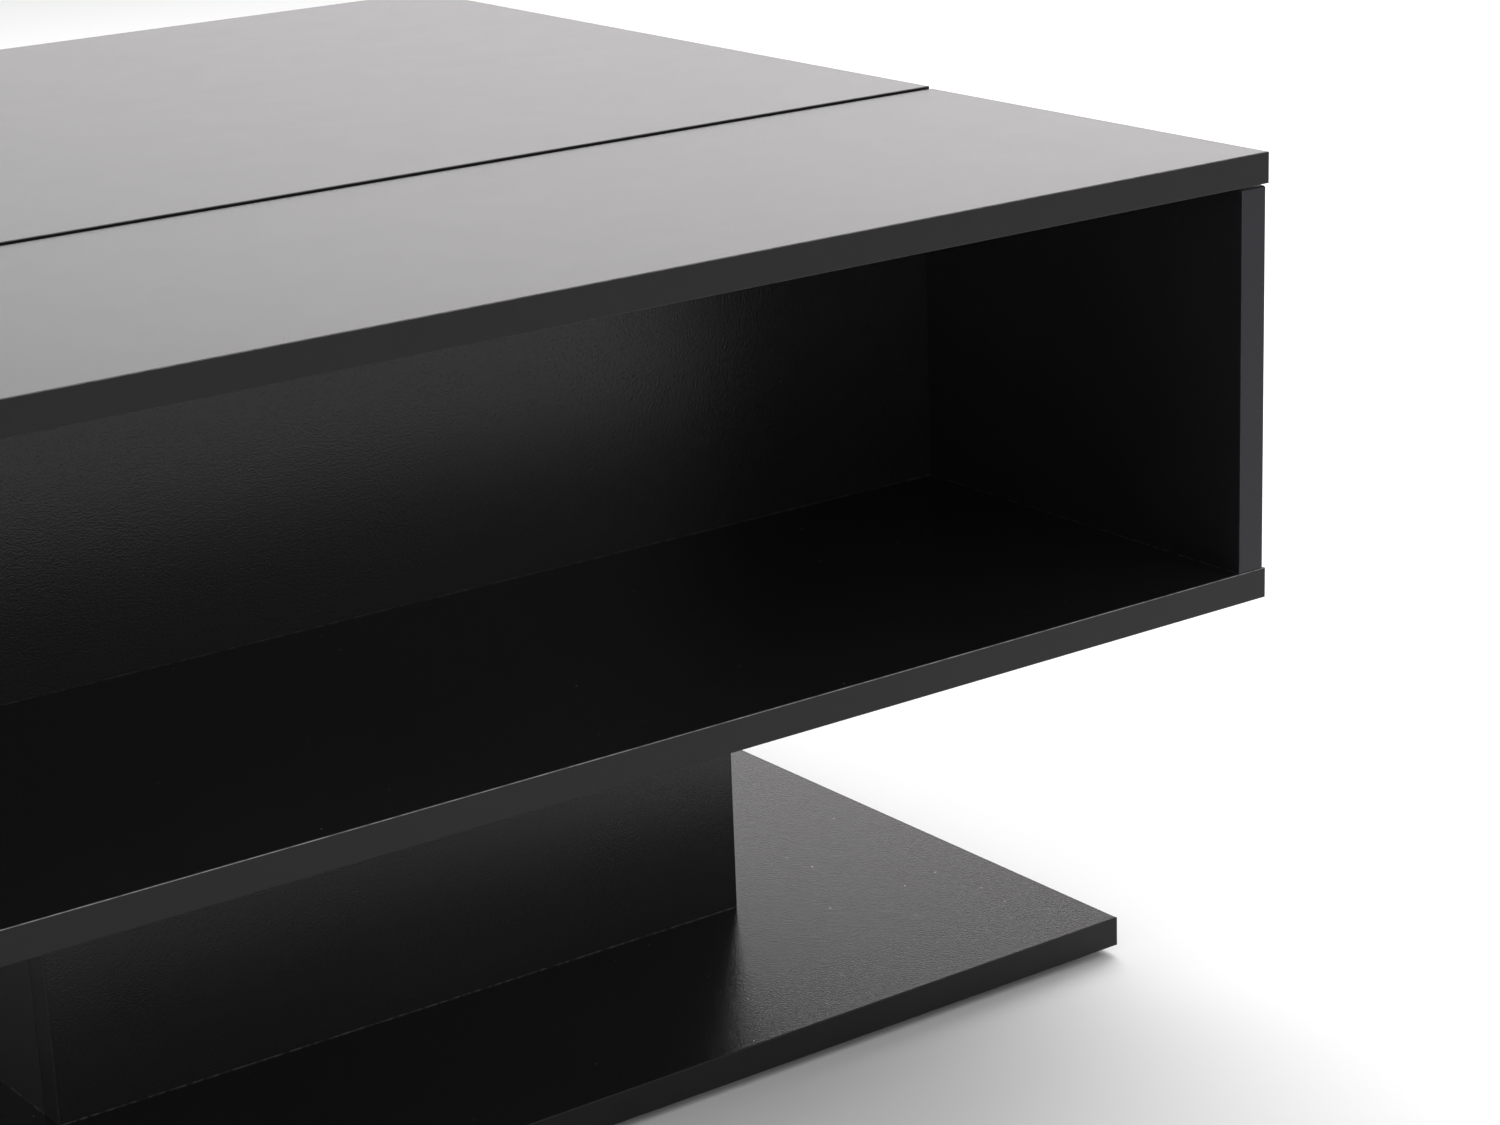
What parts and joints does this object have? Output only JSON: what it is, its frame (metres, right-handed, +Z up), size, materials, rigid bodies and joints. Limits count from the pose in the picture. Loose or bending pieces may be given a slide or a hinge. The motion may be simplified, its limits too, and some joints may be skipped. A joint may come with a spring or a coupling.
{
  "type": "lift top coffee table",
  "caption": "Square black melamine coffee table with an open front cubby under a fixed strip, a rear lid on a linkage that swings up and out, a recessed pedestal and a wide flat base.",
  "frame": {"origin": "centre of the bounding box's underside: on the floor under the middle of the table", "axes": "+Z up, the open cubby faces -Y, the lid swings up and out over +Y, +X is the right side seen from the cubby"},
  "size_m": [0.8, 0.8, 0.435],
  "materials": {
    "black_melamine": "satin black melamine-faced particle board with a fine pebble grain",
    "black_edge_band": "satin black edge banding, a little smoother and greyer than the faces",
    "zinc_steel": "bright zinc plate",
    "black_painted_steel": "satin black powder coat",
    "spring_steel": "oiled spring wire",
    "nylon_washer": "natural nylon",
    "cast_zinc": "dull die casting",
    "black_plastic": "moulded black plastic",
    "bumper_rubber": "soft black pad",
    "raw_wood": "plain sawn beech and pine"
  },
  "bodies": {
    "cabinet": {"back_panel": "black_melamine", "back_panel_edge_band": "black_edge_band", "base_bracket_left": "zinc_steel", "base_bracket_right": "zinc_steel", "base_bracket_screws": "zinc_steel", "base_connector_screws": "zinc_steel", "base_panel": "black_melamine", "base_panel_edge_band": "black_edge_band", "base_pivot_spacers": "nylon_washer", "base_pivot_studs": "zinc_steel", "bottom_panel": "black_melamine", "bottom_panel_edge_band": "black_edge_band", "cabinet_connector_screws": "zinc_steel", "cabinet_fixing_screws": "zinc_steel", "cam_bolts": "zinc_steel", "cam_locks": "cast_zinc", "cleat_screws": "zinc_steel", "corner_block_screws": "zinc_steel", "corner_blocks": "raw_wood", "divider_panel": "black_melamine", "dowels": "raw_wood", "floor_glides": "black_plastic", "glide_nails": "zinc_steel", "lid_bumpers": "bumper_rubber", "lift_spring_left": "spring_steel", "lift_spring_right": "spring_steel", "open_stops": "zinc_steel", "pedestal_back": "black_melamine", "pedestal_dowels": "raw_wood", "pedestal_edge_band": "black_edge_band", "pedestal_front": "black_melamine", "pedestal_left": "black_melamine", "pedestal_right": "black_melamine", "screw_caps": "black_plastic", "side_panel_left": "black_melamine", "side_panel_left_edge_band": "black_edge_band", "side_panel_right": "black_melamine", "side_panel_right_edge_band": "black_edge_band", "spring_posts": "zinc_steel", "top_cleats": "raw_wood", "top_strip": "black_melamine", "top_strip_edge_band": "black_edge_band"},
    "front_arms": {"front_arm_left": "black_painted_steel", "front_arm_right": "black_painted_steel", "arm_cross_tube": "black_painted_steel", "spring_pegs": "zinc_steel"},
    "rear_arms": {"rear_arm_left": "black_painted_steel", "rear_arm_right": "black_painted_steel"},
    "lid": {"lid_panel": "black_melamine", "lid_panel_edge_band": "black_edge_band", "lid_bracket_left": "zinc_steel", "lid_bracket_right": "zinc_steel", "lid_bracket_screws": "zinc_steel", "lid_pivot_studs": "zinc_steel", "lid_pivot_spacers": "nylon_washer"}
  },
  "joints": [
    {"name": "lift", "type": "hinge", "parent": "cabinet", "child": "front_arms", "pos_m": [0, 0.15, 0.35], "axis": [-1, 0, 0], "range_deg": [0, 107], "stiffness_Nm_per_rad": 3.44, "springref_deg": 124.9, "deforming": ["lift_spring_left", "lift_spring_right"]},
    {"name": "lid_level", "type": "hinge", "parent": "front_arms", "child": "lid", "pos_m": [0, -0.07776, 0.38201], "axis": [-1, 0, 0], "range_deg": [-107, 0]},
    {"name": "rear_arm_swing", "type": "hinge", "parent": "cabinet", "child": "rear_arms", "pos_m": [0, 0.25, 0.37], "axis": [-1, 0, 0], "range_deg": [0, 107]}
  ],
  "couplings": [
    {"joint": "lid_level", "follows": "lift", "ratio": -1},
    {"joint": "rear_arm_swing", "follows": "lift", "ratio": 1}
  ]
}
